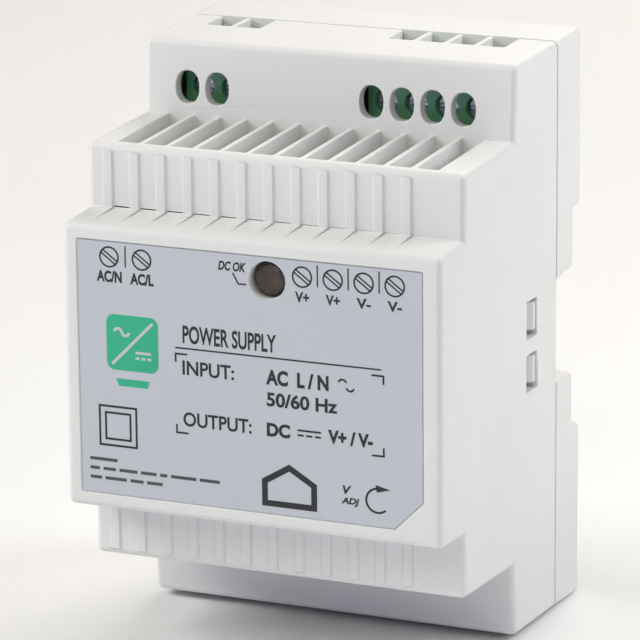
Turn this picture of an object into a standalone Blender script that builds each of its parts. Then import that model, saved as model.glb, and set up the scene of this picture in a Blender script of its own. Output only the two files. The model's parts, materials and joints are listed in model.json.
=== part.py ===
"""DIN rail power supply: a stepped two-shell plastic case 3.5 modules wide, with its boards and terminals.

The reference point of every size is the case itself. X runs across the width from the middle, "depth"
runs back from the label face, and "height" runs up from the middle of the mounting rail. All three are in
millimetres here, and at() turns them into Blender's metres, with the case standing on Z = 0.
"""

import math

import bmesh
import bpy
from mathutils import Matrix, Vector

MM = 0.001
GAP = 0.3

# Case
CASE_WIDTH = 61.4
CASE_HEIGHT = 91.5
CASE_DEPTH = 57.0
HALF_WIDTH = CASE_WIDTH / 2
WALL = 1.8
EDGE_ROUND = 1.0
MID_TIER = 9.0
TOP_TIER = 28.7
PARTING = 46.3
LABEL_HALF = 22.0
LABEL_HALF_BACK = 22.5
MID_HALF = 32.4
MID_HALF_BACK = 33.2
TOP_HALF = 44.7
TOP_HALF_BACK = 45.2
TOP_LEAN = 0.7

# Vents and ribs of the middle tier
VENT_COUNT = 12
VENT_PITCH = 4.43
VENT_WIDTH = 3.55
FIRST_VENT = -26.45
VENT_START = 10.7
VENT_WALL = 3.0
RIB_WIDTH = 1.6
RIB_PROUD = 0.3

# Label and its openings
LABEL_LEFT = -28.3
LABEL_RIGHT = 27.75
LABEL_HALF_HEIGHT = 19.75
LABEL_CORNER = 4.5
RECESS = 0.35
LABEL_THICK = 0.2
LED_X = 2.95
LED_HEIGHT = 16.1
LED_PORT = 5.7
LED_BASE = 8.4

# Terminals
POLE_PITCH = 5.0
AC_CENTRE = -20.9
DC_CENTRE = 14.8
POLE_HEIGHT = 36.4
BLOCK_END = 0.4
BLOCK_DEPTH = (34.6, 44.3)
BLOCK_HEIGHT = (31.9, 42.9)
WIRE_PORT_WIDTH = 4.15
WIRE_PORT_START = 40.3
WELL_RADIUS = 1.9
WELL_FLOOR = 36.4
SCREW_SEAT = 35.7
SCREW_PORT_WIDTH = 3.95
SCREW_PORT_HEIGHT = 5.15
SCREW_PORT_RISE = 1.0

# Snaps
SNAP_DEPTH = (33.85, 38.15)
SNAP_HEIGHTS = ((1.2, 7.2), (-7.1, -1.2))

# Rail and latch
RAIL_HALF = 17.5
RAIL_SEAT = 53.9
HOOK_DEPTH = (55.3, 57.0)
HOOK_REACH = 2.2
GROOVE = (-8.5, 8.0)
GROOVE_FLOOR = 50.0
REAR_START = PARTING + GAP
REAR_INSET = 28.6
LATCH_HALF = 8.0
LATCH_RAISED = 6.6
LATCH_DEPTH = (52.7, 55.3)
LATCH_BACK = 56.8
LATCH_BOTTOM = -45.3
POCKET = (-36.0, -22.0)
SPRING_TURNS = 7
SPRING_RADIUS = 0.95
SPRING_WIRE = 0.225

# Boards
BOARD = (44.6, 46.2)
SEATED = BOARD[0] - GAP
BOARD_HALF_WIDTH = 26.8
BOARD_HALF_HEIGHT = 41.4
TRIMMER_X = 21.5
TRIMMER_HEIGHT = -36.2

AC_POLES = [AC_CENTRE + POLE_PITCH * step for step in (-0.5, 0.5)]
DC_POLES = [DC_CENTRE + POLE_PITCH * step for step in (-1.5, -0.5, 0.5, 1.5)]
POLES = AC_POLES + DC_POLES

# colour, roughness, metallic
PAINTS = {
    "case_plastic": ((0.78, 0.77, 0.74), 0.45, 0.0),
    "latch_plastic": ((0.70, 0.70, 0.68), 0.45, 0.0),
    "label_film": ((0.55, 0.58, 0.64), 0.35, 0.0),
    "led_lens": ((0.10, 0.07, 0.05), 0.15, 0.0),
    "terminal_plastic": ((0.10, 0.32, 0.17), 0.40, 0.0),
    "plated_steel": ((0.62, 0.63, 0.65), 0.30, 1.0),
    "spring_steel": ((0.50, 0.51, 0.53), 0.28, 1.0),
    "tinned_brass": ((0.66, 0.62, 0.52), 0.35, 1.0),
    "board_laminate": ((0.05, 0.22, 0.10), 0.50, 0.0),
    "insulation_film": ((0.62, 0.60, 0.50), 0.30, 0.0),
    "aluminium": ((0.70, 0.71, 0.72), 0.40, 1.0),
    "ferrite": ((0.06, 0.06, 0.065), 0.60, 0.0),
    "bobbin_plastic": ((0.05, 0.05, 0.05), 0.50, 0.0),
    "winding_tape": ((0.75, 0.58, 0.10), 0.40, 0.0),
    "copper_wire": ((0.60, 0.27, 0.12), 0.35, 1.0),
    "capacitor_sleeve": ((0.03, 0.04, 0.06), 0.35, 0.0),
    "film_capacitor_box": ((0.72, 0.56, 0.12), 0.45, 0.0),
    "disc_coating": ((0.10, 0.22, 0.50), 0.40, 0.0),
    "epoxy_black": ((0.03, 0.03, 0.03), 0.45, 0.0),
    "trimmer_blue": ((0.05, 0.15, 0.55), 0.40, 0.0),
    "trimmer_white": ((0.80, 0.80, 0.78), 0.40, 0.0),
}

# Local X, Y, Z of an outline, as world axes: across the case, or facing the front
SIDE_ON = Matrix(((0, 0, 1, 0), (1, 0, 0, 0), (0, 1, 0, 0), (0, 0, 0, 1)))
FRONT_ON = Matrix(((1, 0, 0, 0), (0, 0, -1, 0), (0, 1, 0, 0), (0, 0, 0, 1)))


def clear_scene():
    for old in list(bpy.data.objects):
        bpy.data.objects.remove(old, do_unlink=True)


def new_collection(name):
    made = bpy.data.collections.new(name)
    bpy.context.scene.collection.children.link(made)
    return made


def at(x, depth, height):
    """The world point, in metres, of a place on the case given in millimetres."""
    return Vector((x, depth - CASE_DEPTH / 2, height + CASE_HEIGHT / 2)) * MM


def paint(obj, slot):
    """Gives an object its own material in one of the finishes above."""
    colour, roughness, metallic = PAINTS[slot]
    material = bpy.data.materials.new(f"{obj.name}_{slot}")
    material.use_nodes = True
    shader = material.node_tree.nodes["Principled BSDF"]
    shader.inputs["Base Color"].default_value = (*colour, 1.0)
    shader.inputs["Roughness"].default_value = roughness
    shader.inputs["Metallic"].default_value = metallic
    obj.data.materials.append(material)


def add_object(name, mesh, slot, location):
    """Links a mesh as a visible part with its finish or, with no finish, as a hidden helper."""
    obj = bpy.data.objects.new(name, mesh)
    obj.location = location
    if slot:
        parts.objects.link(obj)
        paint(obj, slot)
    else:
        helpers.objects.link(obj)
        obj.hide_render = True
        obj.display_type = "WIRE"
    return obj


def box(name, x, depth, height, slot=None):
    """A block between two values on each axis."""
    low = at(x[0], depth[0], height[0])
    high = at(x[1], depth[1], height[1])
    bm = bmesh.new()
    bmesh.ops.create_cube(bm, size=1.0, matrix=Matrix.Diagonal((*(high - low), 1.0)))
    mesh = bpy.data.meshes.new(name)
    bm.to_mesh(mesh)
    bm.free()
    return add_object(name, mesh, slot, (low + high) / 2)


def boxes(name, blocks):
    """A helper of several blocks that don't touch, each (x, depth, height)."""
    bm = bmesh.new()
    for x, depth, height in blocks:
        low = at(x[0], depth[0], height[0])
        high = at(x[1], depth[1], height[1])
        shape = Matrix.Translation((low + high) / 2) @ Matrix.Diagonal((*(high - low), 1.0))
        bmesh.ops.create_cube(bm, size=1.0, matrix=shape)
    mesh = bpy.data.meshes.new(name)
    bm.to_mesh(mesh)
    bm.free()
    return add_object(name, mesh, None, (0, 0, 0))


def front_pegs(name, centres, radius, depth, sides=24):
    """A helper of round pegs along the depth, at (x, height) centres."""
    bm = bmesh.new()
    turn = Matrix.Rotation(math.pi / 2, 4, "X")
    for x, height in centres:
        middle = at(x, (depth[0] + depth[1]) / 2, height)
        bmesh.ops.create_cone(
            bm,
            cap_ends=True,
            segments=sides,
            radius1=radius * MM,
            radius2=radius * MM,
            depth=(depth[1] - depth[0]) * MM,
            matrix=Matrix.Translation(middle) @ turn,
        )
    mesh = bpy.data.meshes.new(name)
    bm.to_mesh(mesh)
    bm.free()
    return add_object(name, mesh, None, (0, 0, 0))


def outline_solid(name, outlines, facing, middle, thickness, slot=None):
    """A flat outline, with any further outlines as holes in it, given a thickness about a middle point."""
    curve = bpy.data.curves.new(name, "CURVE")
    curve.dimensions = "2D"
    curve.fill_mode = "BOTH"
    curve.extrude = thickness * MM / 2
    for outline in outlines:
        spline = curve.splines.new("POLY")
        spline.points.add(len(outline) - 1)
        for point, (u, v) in zip(spline.points, outline):
            point.co = (u * MM, v * MM, 0.0, 1.0)
        spline.use_cyclic_u = True
    flat = bpy.data.objects.new(f"{name}_outline", curve)
    bpy.context.scene.collection.objects.link(flat)
    bpy.context.view_layer.update()
    graph = bpy.context.evaluated_depsgraph_get()
    mesh = bpy.data.meshes.new_from_object(flat.evaluated_get(graph))
    bpy.data.objects.remove(flat, do_unlink=True)
    mesh.name = name
    bm = bmesh.new()
    bm.from_mesh(mesh)
    bmesh.ops.remove_doubles(bm, verts=bm.verts, dist=1e-6)
    bmesh.ops.dissolve_limit(bm, angle_limit=0.001, verts=bm.verts, edges=bm.edges)
    bmesh.ops.recalc_face_normals(bm, faces=bm.faces)
    bm.to_mesh(mesh)
    bm.free()
    obj = add_object(name, mesh, slot, (0, 0, 0))
    obj.matrix_world = Matrix.Translation(middle) @ facing
    return obj


def case_outline(points):
    """Outline points (depth, height) measured from the case's own origin."""
    return [(depth - CASE_DEPTH / 2, height + CASE_HEIGHT / 2) for depth, height in points]


def mirrored(upper):
    """An outline's upper half, front to back, with the same half below it."""
    return upper + [(depth, -height) for depth, height in reversed(upper)]


def turned(name, profile, location, slot, steps=24):
    """A round piece facing the front: (radius, reach towards the front), from its front to its back."""
    mesh = bpy.data.meshes.new(name)
    points = [(radius * MM, 0.0, reach * MM) for radius, reach in profile]
    mesh.from_pydata(points, [(i, i + 1) for i in range(len(points) - 1)], [])
    obj = add_object(name, mesh, slot, location)
    obj.rotation_euler = (math.pi / 2, 0, 0)
    spin = obj.modifiers.new("turn", "SCREW")
    spin.steps = steps
    spin.render_steps = steps
    spin.use_merge_vertices = True
    spin.merge_threshold = 1e-6
    spin.use_smooth_shade = True
    return obj


def cut(obj, cutter):
    change(obj, cutter, "DIFFERENCE")


def join(obj, other):
    change(obj, other, "UNION")


def change(obj, other, operation):
    modifier = obj.modifiers.new(other.name, "BOOLEAN")
    modifier.operation = operation
    modifier.object = other


def round_edges(obj, keep_sharp, width=EDGE_ROUND, segments=3):
    """Rounds an extruded outline's outward edges, but not where keep_sharp(point) holds at both ends."""
    bm = bmesh.new()
    bm.from_mesh(obj.data)
    weight = bm.edges.layers.float.new("bevel_weight_edge")
    for edge in bm.edges:
        ends = [obj.matrix_world @ vertex.co for vertex in edge.verts]
        outward = edge.is_convex and edge.calc_face_angle(0) > math.radians(20)
        edge[weight] = float(outward and not all(keep_sharp(end) for end in ends))
    bm.to_mesh(obj.data)
    bm.free()
    bevel = obj.modifiers.new("rounding", "BEVEL")
    bevel.limit_method = "WEIGHT"
    bevel.width = width * MM
    bevel.segments = segments


def arc(centre, radius, start, end, steps):
    """Points on an arc, angles in degrees."""
    points = []
    for step in range(steps + 1):
        angle = math.radians(start + (end - start) * step / steps)
        points.append((centre[0] + radius * math.cos(angle), centre[1] + radius * math.sin(angle)))
    return points


def label_outline(margin):
    """The label's outline (x, height) with its cut lower right corner, drawn in by a margin."""
    left = LABEL_LEFT + margin
    right = LABEL_RIGHT - margin
    half = LABEL_HALF_HEIGHT - margin
    return [
        (left, -half),
        (right - LABEL_CORNER, -half),
        (right, LABEL_CORNER - half),
        (right, half),
        (left, half),
    ]


# Casing


def make_front_cover():
    """The stepped front shell, open at the parting line."""
    outer = mirrored(
        [
            (0, LABEL_HALF),
            (MID_TIER, LABEL_HALF_BACK),
            (MID_TIER, MID_HALF),
            (TOP_TIER, MID_HALF_BACK),
            (TOP_TIER + TOP_LEAN, TOP_HALF),
            (PARTING, TOP_HALF_BACK),
        ]
    )
    lip = 29.0
    inner = mirrored(
        [
            (WALL, LABEL_HALF - WALL),
            (MID_TIER + WALL, LABEL_HALF_BACK - WALL),
            (MID_TIER + WALL, MID_HALF - VENT_WALL),
            (TOP_TIER, MID_HALF_BACK - VENT_WALL),
            (TOP_TIER, lip),
            (TOP_TIER + WALL, lip),
            (TOP_TIER + TOP_LEAN + WALL, TOP_HALF - WALL),
            (PARTING + 1, TOP_HALF_BACK - WALL),
        ]
    )
    cover = outline_solid(
        "front_cover", [case_outline(outer)], SIDE_ON, (0, 0, 0), CASE_WIDTH, "case_plastic"
    )
    parting_y = at(0, PARTING, 0).y
    round_edges(cover, lambda point: abs(point.y - parting_y) < 1e-5)
    cavity_width = CASE_WIDTH - 2 * WALL
    cavity = outline_solid("cover_cavity", [case_outline(inner)], SIDE_ON, (0, 0, 0), cavity_width)
    cut(cover, cavity)
    join(cover, boxes("cover_ribs", rib_blocks()))
    cut(cover, boxes("cover_vents", vent_blocks()))
    cut(cover, boxes("cover_wire_ports", [wire_port(x) for x in POLES]))
    for number, x in enumerate(POLES):
        cut(cover, screw_port(f"cover_screw_port_{number}", x))
    cut(cover, boxes("cover_snap_windows", snap_windows()))
    recess = outline_solid(
        "cover_label_recess",
        [label_outline(0)],
        FRONT_ON,
        at(0, 0, 0),
        2 * RECESS,
    )
    cut(cover, recess)
    lamp = [(LED_X, LED_HEIGHT)]
    join(cover, front_pegs("cover_led_collar", lamp, LED_PORT / 2 + 0.75, (WALL - 0.5, LED_BASE - 1.4)))
    cut(cover, front_pegs("cover_led_port", lamp, LED_PORT / 2, (-1, LED_BASE)))
    trimmer_port = (TRIMMER_X, TRIMMER_HEIGHT)
    port_depth = (TOP_TIER - 1, TOP_TIER + 3)
    cut(cover, front_pegs("cover_trimmer_port", [trimmer_port], 2.0, port_depth))


def vent_blocks():
    """The rows of slots through the top and the bottom of the middle tier."""
    blocks = []
    for number in range(VENT_COUNT):
        left = FIRST_VENT + VENT_PITCH * number
        for side in (-1, 1):
            height = sorted((side * (MID_HALF - VENT_WALL - 1), side * (MID_HALF + 2)))
            blocks.append(((left, left + VENT_WIDTH), (VENT_START, TOP_TIER), height))
    return blocks


def rib_blocks():
    """The shallow ribs down the middle tier's front, each ending at the right edge of a fin."""
    blocks = []
    depth = (MID_TIER - RIB_PROUD, MID_TIER + 0.5)
    near = LABEL_HALF_BACK + 0.2
    far = MID_HALF - 1.0
    for number in range(VENT_COUNT):
        right = FIRST_VENT + VENT_PITCH * number
        for height in ((near, far), (-far, -near)):
            blocks.append(((right - RIB_WIDTH, right), depth, height))
    return blocks


def wire_port(x):
    half = WIRE_PORT_WIDTH / 2
    return ((x - half, x + half), (WIRE_PORT_START, PARTING + 1), (TOP_HALF - WALL - 1, TOP_HALF + 2))


def screw_port(name, x):
    """An oval hole through the top tier's front, its middle a little above the screw's."""
    outline = []
    for step in range(24):
        angle = math.radians(15 * step)
        across = SCREW_PORT_WIDTH / 2 * math.copysign(abs(math.cos(angle)) ** 0.88, math.cos(angle))
        up = SCREW_PORT_HEIGHT / 2 * math.copysign(abs(math.sin(angle)) ** 0.88, math.sin(angle))
        outline.append((across, up))
    middle = at(x, TOP_TIER + 1, POLE_HEIGHT + SCREW_PORT_RISE)
    return outline_solid(name, [outline], FRONT_ON, middle, 6)


def snap_windows():
    blocks = []
    for height in SNAP_HEIGHTS:
        blocks.append(((-HALF_WIDTH - 1, -HALF_WIDTH + WALL + 1), SNAP_DEPTH, height))
        blocks.append(((HALF_WIDTH - WALL - 1, HALF_WIDTH + 1), SNAP_DEPTH, height))
    return blocks


def make_rear_housing():
    """The rear shell, with the rail channel, the latch slide, the fixed hooks and the snap tongues."""
    outer = [
        (REAR_START, TOP_HALF_BACK + 0.1),
        (CASE_DEPTH, CASE_HEIGHT / 2),
        (CASE_DEPTH, RAIL_HALF),
        (RAIL_SEAT, RAIL_HALF),
        (RAIL_SEAT, GROOVE[1]),
        (GROOVE_FLOOR, GROOVE[1]),
        (GROOVE_FLOOR, GROOVE[0]),
        (RAIL_SEAT, GROOVE[0]),
        (RAIL_SEAT, -RAIL_HALF),
        (CASE_DEPTH, -RAIL_HALF),
        (CASE_DEPTH, -CASE_HEIGHT / 2),
        (REAR_START, -TOP_HALF_BACK - 0.1),
    ]
    back_inside = CASE_DEPTH - WALL
    seat_inside = RAIL_SEAT - WALL
    web_inside = GROOVE_FLOOR - 1.6
    inner = [
        (REAR_START - 1, 42.1),
        (back_inside, 42.1),
        (back_inside, RAIL_HALF + WALL),
        (seat_inside, RAIL_HALF + WALL),
        (seat_inside, GROOVE[1] + WALL),
        (web_inside, GROOVE[1] + WALL),
        (web_inside, GROOVE[0] - WALL),
        (seat_inside, GROOVE[0] - WALL),
        (seat_inside, -RAIL_HALF - WALL),
        (back_inside, -RAIL_HALF - WALL),
        (back_inside, -42.1),
        (REAR_START - 1, -42.1),
    ]
    cavity_half = 27.2
    housing = outline_solid(
        "rear_housing", [case_outline(outer)], SIDE_ON, (0, 0, 0), CASE_WIDTH, "case_plastic"
    )
    start_y = at(0, REAR_START, 0).y
    round_edges(housing, lambda point: abs(point.y - start_y) < 1e-5)
    cavity = outline_solid("housing_cavity", [case_outline(inner)], SIDE_ON, (0, 0, 0), 2 * cavity_half)
    cut(housing, cavity)
    side_notches = [
        ((-HALF_WIDTH - 1, -REAR_INSET), (REAR_START - 1, RAIL_SEAT + 1), GROOVE),
        ((REAR_INSET, HALF_WIDTH + 1), (REAR_START - 1, RAIL_SEAT + 1), GROOVE),
    ]
    cut(housing, boxes("housing_side_notches", side_notches))
    slide_back = (-43.0, -RAIL_HALF - 0.4)
    join(housing, box("housing_slide", (-10, 10), (51.2, CASE_DEPTH - 1), slide_back))
    floor = LATCH_DEPTH[0] - GAP
    lips = LATCH_DEPTH[1] + GAP
    open_half = LATCH_RAISED + GAP
    slide_half = LATCH_HALF + GAP
    below = -CASE_HEIGHT / 2 - 1
    channel_height = (below, -RAIL_HALF - 0.1)
    cut(housing, box("housing_channel", (-slide_half, slide_half), (floor, lips), channel_height))
    slot_depth = (floor + 1, CASE_DEPTH + 1)
    cut(housing, box("housing_slot", (-open_half, open_half), slot_depth, (below, -RAIL_HALF + 1)))
    join(housing, box("housing_spring_seat", (-1.6, 1.6), (floor - 0.5, 54.9), (-35.6, -33.7)))
    hook_height = (RAIL_HALF - HOOK_REACH, RAIL_HALF + 1)
    hooks = [((-24, -13), HOOK_DEPTH, hook_height), ((13, 24), HOOK_DEPTH, hook_height)]
    join(housing, boxes("housing_hooks", hooks))
    posts = [(x, height) for x in (-24.2, 24.2) for height in (-38.6, 38.6)]
    join(housing, front_pegs("housing_posts", posts, 1.8, (BOARD[1] + GAP, back_inside + 1), 16))
    for side in (-1, 1):
        for number, height in enumerate(SNAP_HEIGHTS):
            join(housing, snap_tongue(f"housing_snap_{side}_{number}", side, height))


def snap_tongue(name, side, window):
    """A tongue reaching forward inside the cover's wall, with a ramped catch that stands in its window."""
    root = 27.3
    face = REAR_INSET - 0.1
    catch = HALF_WIDTH - 0.25
    front = SNAP_DEPTH[0] + 0.35
    back = SNAP_DEPTH[1] - 0.2
    outline = [
        (root, GROOVE_FLOOR - 2),
        (root, front),
        (face, front),
        (face, front + 1.15),
        (catch, back - 0.8),
        (catch, back),
        (face, back),
        (face, GROOVE_FLOOR - 2),
    ]
    low = window[0] + 1.0
    high = window[1] - 0.75
    middle = at(0, CASE_DEPTH / 2, (low + high) / 2)
    points = [(side * x, depth - CASE_DEPTH / 2) for x, depth in outline]
    return outline_solid(name, [points], Matrix.Identity(4), middle, high - low)


def make_front_label():
    """The printed film in the cover's recess, open over the LED."""
    hole = [(x + LED_X, y + LED_HEIGHT) for x, y in arc((0, 0), LED_PORT / 2 + 0.1, 0, 345, 23)]
    outline_solid(
        "front_label",
        [label_outline(0.15), hole],
        FRONT_ON,
        at(0, RECESS - 0.05 - LABEL_THICK / 2, 0),
        LABEL_THICK,
        "label_film",
    )


def make_latch():
    """The slide that catches the rail's lower edge, pulled down at its slotted end to let go."""
    plate = (LATCH_BOTTOM, -RAIL_HALF - 0.4)
    latch = box("din_latch", (-LATCH_HALF, LATCH_HALF), LATCH_DEPTH, plate, "latch_plastic")
    raised = (LATCH_DEPTH[1] - 0.5, LATCH_BACK)
    join(latch, box("latch_raised", (-LATCH_RAISED, LATCH_RAISED), raised, plate))
    nose = [
        (HOOK_DEPTH[0], -RAIL_HALF - 1),
        (LATCH_BACK, -RAIL_HALF - 1),
        (LATCH_BACK, -RAIL_HALF + 1.0),
        (HOOK_DEPTH[0] + 0.3, -RAIL_HALF + HOOK_REACH),
        (HOOK_DEPTH[0], -RAIL_HALF + HOOK_REACH),
    ]
    join(latch, outline_solid("latch_nose", [case_outline(nose)], SIDE_ON, (0, 0, 0), 12))
    cut(latch, box("latch_pocket", (-1.9, 1.9), (LATCH_DEPTH[0] - 1, 55.1), POCKET))
    cut(latch, box("latch_pull_slot", (-3, 3), (LATCH_DEPTH[0] - 1, CASE_DEPTH + 1), (-43.3, -40.9)))


def make_latch_spring():
    """The compression spring between the housing's seat, below, and the latch's pocket, above."""
    low = -33.7 + GAP
    high = POCKET[1] - GAP
    per_turn = 10
    count = SPRING_TURNS * per_turn
    rise = high - low - 2 * SPRING_WIRE
    curve = bpy.data.curves.new("latch_spring", "CURVE")
    curve.dimensions = "3D"
    curve.bevel_depth = SPRING_WIRE * MM
    curve.bevel_resolution = 2
    curve.use_fill_caps = True
    spline = curve.splines.new("POLY")
    spline.points.add(count)
    for step, point in enumerate(spline.points):
        angle = 2 * math.pi * step / per_turn
        turn_share = step / count
        point.co = (
            SPRING_RADIUS * math.cos(angle) * MM,
            SPRING_RADIUS * math.sin(angle) * MM,
            (SPRING_WIRE + rise * turn_share) * MM,
            1.0,
        )
    spring = bpy.data.objects.new("latch_spring", curve)
    spring.location = at(0, (LATCH_DEPTH[0] + 55.1) / 2, low)
    parts.objects.link(spring)
    paint(spring, "spring_steel")


# Terminals


def make_terminal_block(name, poles):
    """A green block with a screw well, a clamp chamber and a wire funnel for each pole."""
    reach = POLE_PITCH / 2 + BLOCK_END
    x = (poles[0] - reach, poles[-1] + reach)
    block = box(name, x, BLOCK_DEPTH, BLOCK_HEIGHT, "terminal_plastic")
    centres = [(pole, POLE_HEIGHT) for pole in poles]
    cut(block, front_pegs(f"{name}_wells", centres, WELL_RADIUS, (BLOCK_DEPTH[0] - 1, WELL_FLOOR)))
    cut(block, front_pegs(f"{name}_necks", centres, 1.45, (WELL_FLOOR - 0.5, 37.5), 16))
    low = POLE_HEIGHT - 2.1
    chambers = [((pole - 2.15, pole + 2.15), (36.95, 43.5), (low, POLE_HEIGHT + 2.1)) for pole in poles]
    cut(block, boxes(f"{name}_chambers", chambers))
    funnels = [((pole - 1.75, pole + 1.75), (39.6, 43.1), (38, BLOCK_HEIGHT[1] + 1)) for pole in poles]
    cut(block, boxes(f"{name}_funnels", funnels))
    legs = [((pole - 0.8, pole + 0.8), (39.7, 45), (low - 1.5, low + 0.5)) for pole in poles]
    cut(block, boxes(f"{name}_leg_slots", legs))


def make_terminal_screw(number, x):
    """The slotted screw of one pole, which stays in the block as it turns."""
    head = WELL_RADIUS - 0.2
    shank = 1.15
    profile = [
        (0, 0.5),
        (head - 0.3, 0.5),
        (head, 0.3),
        (head, -0.6),
        (shank, -0.6),
        (shank, -3.75),
        (shank - 0.25, -4.0),
        (0, -4.0),
    ]
    screw = turned(f"terminal_screw_{number}", profile, at(x, SCREW_SEAT, POLE_HEIGHT), "plated_steel")
    slot_height = (POLE_HEIGHT - 0.35, POLE_HEIGHT + 0.35)
    slot_depth = (SCREW_SEAT - 1.5, SCREW_SEAT + 0.1)
    cut(screw, box(f"screw_slot_{number}", (x - 2.5, x + 2.5), slot_depth, slot_height))


def make_clamp(number, x):
    """The cage that the screw draws forward to hold a wire against the contact."""
    outer = [(-2.0, -2.2), (2.0, -2.2), (2.0, 2.2), (-2.0, 2.2)]
    window = [(-1.5, -1.6), (1.5, -1.6), (1.5, 1.2), (-1.5, 1.2)]
    middle = at(x, 41.0, POLE_HEIGHT)
    flat = Matrix.Rotation(math.pi, 4, "X")
    clamp = outline_solid(f"clamp_{number}", [outer, window], flat, middle, 3.6, "plated_steel")
    cut(clamp, front_pegs(f"clamp_hole_{number}", [(x, POLE_HEIGHT)], 1.35, (38, 40.2), 16))


def make_contact(number, x):
    """The fixed tongue inside the clamp, bent back into a leg soldered in the board."""
    leg_low = POLE_HEIGHT - 3.4
    outline = [
        (39.95, leg_low),
        (47.6, leg_low),
        (47.6, leg_low + 0.8),
        (40.6, leg_low + 0.8),
        (40.6, POLE_HEIGHT + 1.5),
        (39.95, POLE_HEIGHT + 1.5),
    ]
    name = f"contact_{number}"
    outline_solid(name, [case_outline(outline)], SIDE_ON, (x * MM, 0, 0), 1.1, "tinned_brass")


# Boards


def make_main_board():
    half_width = BOARD_HALF_WIDTH
    half_height = BOARD_HALF_HEIGHT
    edge = [
        (-half_width, -half_height),
        (half_width, -half_height),
        (half_width, half_height),
        (-half_width, half_height),
    ]
    holes = [arc((x, POLE_HEIGHT - 3.0), 0.85, 0, 330, 11) for x in POLES]
    middle = at(0, (BOARD[0] + BOARD[1]) / 2, 0)
    thick = BOARD[1] - BOARD[0]
    outline_solid("main_board", [edge, *holes], FRONT_ON, middle, thick, "board_laminate")


def make_control_board():
    box("control_board", (7.2, 8.4), (9.5, SEATED), (12.0, 19.6), "board_laminate")


def make_insulation_sheet():
    """The film between the board's soldered side and the rail web."""
    box("insulation_sheet", (-26.4, 26.4), (48.0, 48.2), (-10.0, 9.5), "insulation_film")


# Electrical parts


def can(name, x, height, radius, length):
    """An electrolytic capacitor standing on the board, with its rolled groove."""
    profile = [
        (0, length),
        (radius - 0.7, length),
        (radius, length - 0.7),
        (radius, 2.6),
        (radius - 0.5, 2.1),
        (radius - 0.5, 1.6),
        (radius, 1.1),
        (radius, 0.3),
        (radius - 0.3, 0),
        (0, 0),
    ]
    turned(name, profile, at(x, SEATED, height), "capacitor_sleeve")


def disc(name, x, height, radius, thickness, slot):
    """A coated disc standing on edge on the board, with its faces up and down."""
    outline = arc((0, 0), radius, 0, 345, 23)
    middle = at(x, SEATED - radius - 1, height)
    coin = outline_solid(name, [outline], Matrix.Identity(4), middle, thickness, slot)
    reach = (SEATED - 2.5, SEATED)
    lead_height = (height - 0.35, height + 0.35)
    leads = [((x - side - 0.35, x - side + 0.35), reach, lead_height) for side in (-2.5, 2.5)]
    join(coin, boxes(f"{name}_leads", leads))


def make_input_parts():
    fuse = [(0, 8.0), (3.9, 8.0), (4.2, 7.7), (4.2, 0), (0, 0)]
    turned("fuse", fuse, at(-21.5, SEATED, 25.5), "epoxy_black")
    disc("inrush_thermistor", -12.2, 26.0, 4.5, 4.0, "epoxy_black")
    disc("surge_varistor", -21.5, 17.2, 4.7, 4.2, "disc_coating")
    box("x_capacitor", (-26.0, -9.0), (29.0, SEATED), (4.4, 12.8), "film_capacitor_box")
    box("bridge_rectifier", (-15.7, -1.3), (33.5, SEATED), (15.6, 19.0), "epoxy_black")
    can("input_capacitor", -17.5, -20.2, 8.0, 28.0)


def make_filter_choke():
    """A rectangular ferrite ring with a winding round each of its two upright legs."""
    x = -17.5
    height = -4.2
    ring = [(-6.4, -7.5), (6.4, -7.5), (6.4, 7.5), (-6.4, 7.5)]
    window = [(-3.4, -4.5), (3.4, -4.5), (3.4, 4.5), (-3.4, 4.5)]
    flat = Matrix.Rotation(math.pi, 4, "X")
    outline_solid("filter_choke_core", [ring, window], flat, at(x, 35.5, height), 5.0, "ferrite")
    for side, letter in ((-1, "a"), (1, "b")):
        name = f"filter_choke_winding_{letter}"
        leg = x + side * 4.9
        coil = box(name, (leg - 3.2, leg + 3.2), (31.3, 39.7), (height - 4.1, height + 4.1), "copper_wire")
        hole = box(f"{name}_bore", (leg - 1.8, leg + 1.8), (30, 41), (height - 2.8, height + 2.8))
        cut(coil, hole)
        bevel_last(coil, 0.8)


def bevel_last(obj, width, segments=2):
    bevel = obj.modifiers.new("rounding", "BEVEL")
    bevel.limit_method = "ANGLE"
    bevel.angle_limit = math.radians(60)
    bevel.width = width * MM
    bevel.segments = segments


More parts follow.
